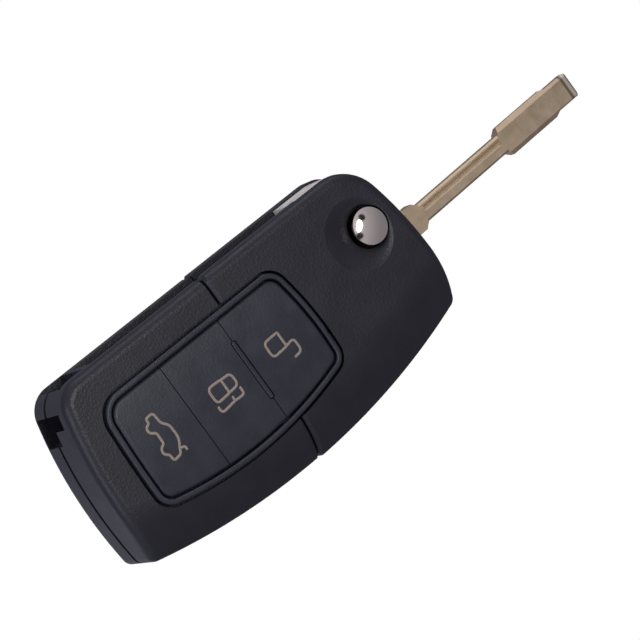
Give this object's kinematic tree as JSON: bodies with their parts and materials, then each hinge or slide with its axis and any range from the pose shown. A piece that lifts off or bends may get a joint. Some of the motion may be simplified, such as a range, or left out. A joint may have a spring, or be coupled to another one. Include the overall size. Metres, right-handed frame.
{
  "type": "flip key remote shell",
  "caption": "Two-part plastic key fob shell with a key pad, a ring tunnel at one corner, and a sprung blade that swings out of a side channel at a push button.",
  "frame": {"origin": "on the flat back of the fob, under the axis that the blade turns on", "axes": "+X to the right across the front, +Y up the fob towards the open blade's tip, +Z out of the front face"},
  "size_m": [0.0373, 0.1196, 0.0174],
  "materials": {
    "shell_plastic": "finely textured moulded black plastic",
    "pad_plastic": "soft satin, slightly blue black",
    "mat_rubber": "silicone",
    "button_chrome": "polished chrome plate",
    "carrier_zinc": "cast zinc alloy, tumbled, dull silver",
    "blade_brass": "milled, nickel-silver tone",
    "spring_steel": "bright drawn steel"
  },
  "bodies": {
    "housing": {"head_front_shell": "shell_plastic", "head_back_shell": "shell_plastic", "remote_front_cover": "shell_plastic", "remote_back_cover": "shell_plastic", "pad_bezel": "pad_plastic", "key_mat": "mat_rubber", "flip_spring": "spring_steel", "spring_anchor_cup": "spring_steel", "transponder_cap": "shell_plastic", "battery_clip": "spring_steel", "head_screw_left": "spring_steel", "head_screw_right": "spring_steel"},
    "blade_unit": {"blade_carrier": "carrier_zinc", "key_blade": "blade_brass", "blade_pin": "spring_steel", "button_spring": "spring_steel"},
    "button_unit": {"release_button": "button_chrome"},
    "unlock_unit": {"key_unlock": "pad_plastic"},
    "lock_unit": {"key_lock": "pad_plastic"},
    "boot_unit": {"key_boot": "pad_plastic"}
  },
  "joints": [
    {"name": "blade_flip", "type": "hinge", "parent": "housing", "child": "blade_unit", "pos_m": [0, 0, 0.009], "axis": [0, 0, 1], "range_deg": [0, 178.5], "stiffness_Nm_per_rad": 0.012, "springref_deg": -28.65, "deforming": ["flip_spring"]},
    {"name": "release_press", "type": "slide", "parent": "blade_unit", "child": "button_unit", "axis": [0, 0, -1], "range_m": [0, 0.0018], "stiffness_N_per_m": 900, "springref_m": -0.001, "deforming": ["button_spring"]},
    {"name": "unlock_press", "type": "slide", "parent": "housing", "child": "unlock_unit", "axis": [0, 0, -1], "range_m": [0, 0.0003], "stiffness_N_per_m": 4000},
    {"name": "lock_press", "type": "slide", "parent": "housing", "child": "lock_unit", "axis": [0, 0, -1], "range_m": [0, 0.0003], "stiffness_N_per_m": 4000},
    {"name": "boot_press", "type": "slide", "parent": "housing", "child": "boot_unit", "axis": [0, 0, -1], "range_m": [0, 0.0003], "stiffness_N_per_m": 4000}
  ]
}
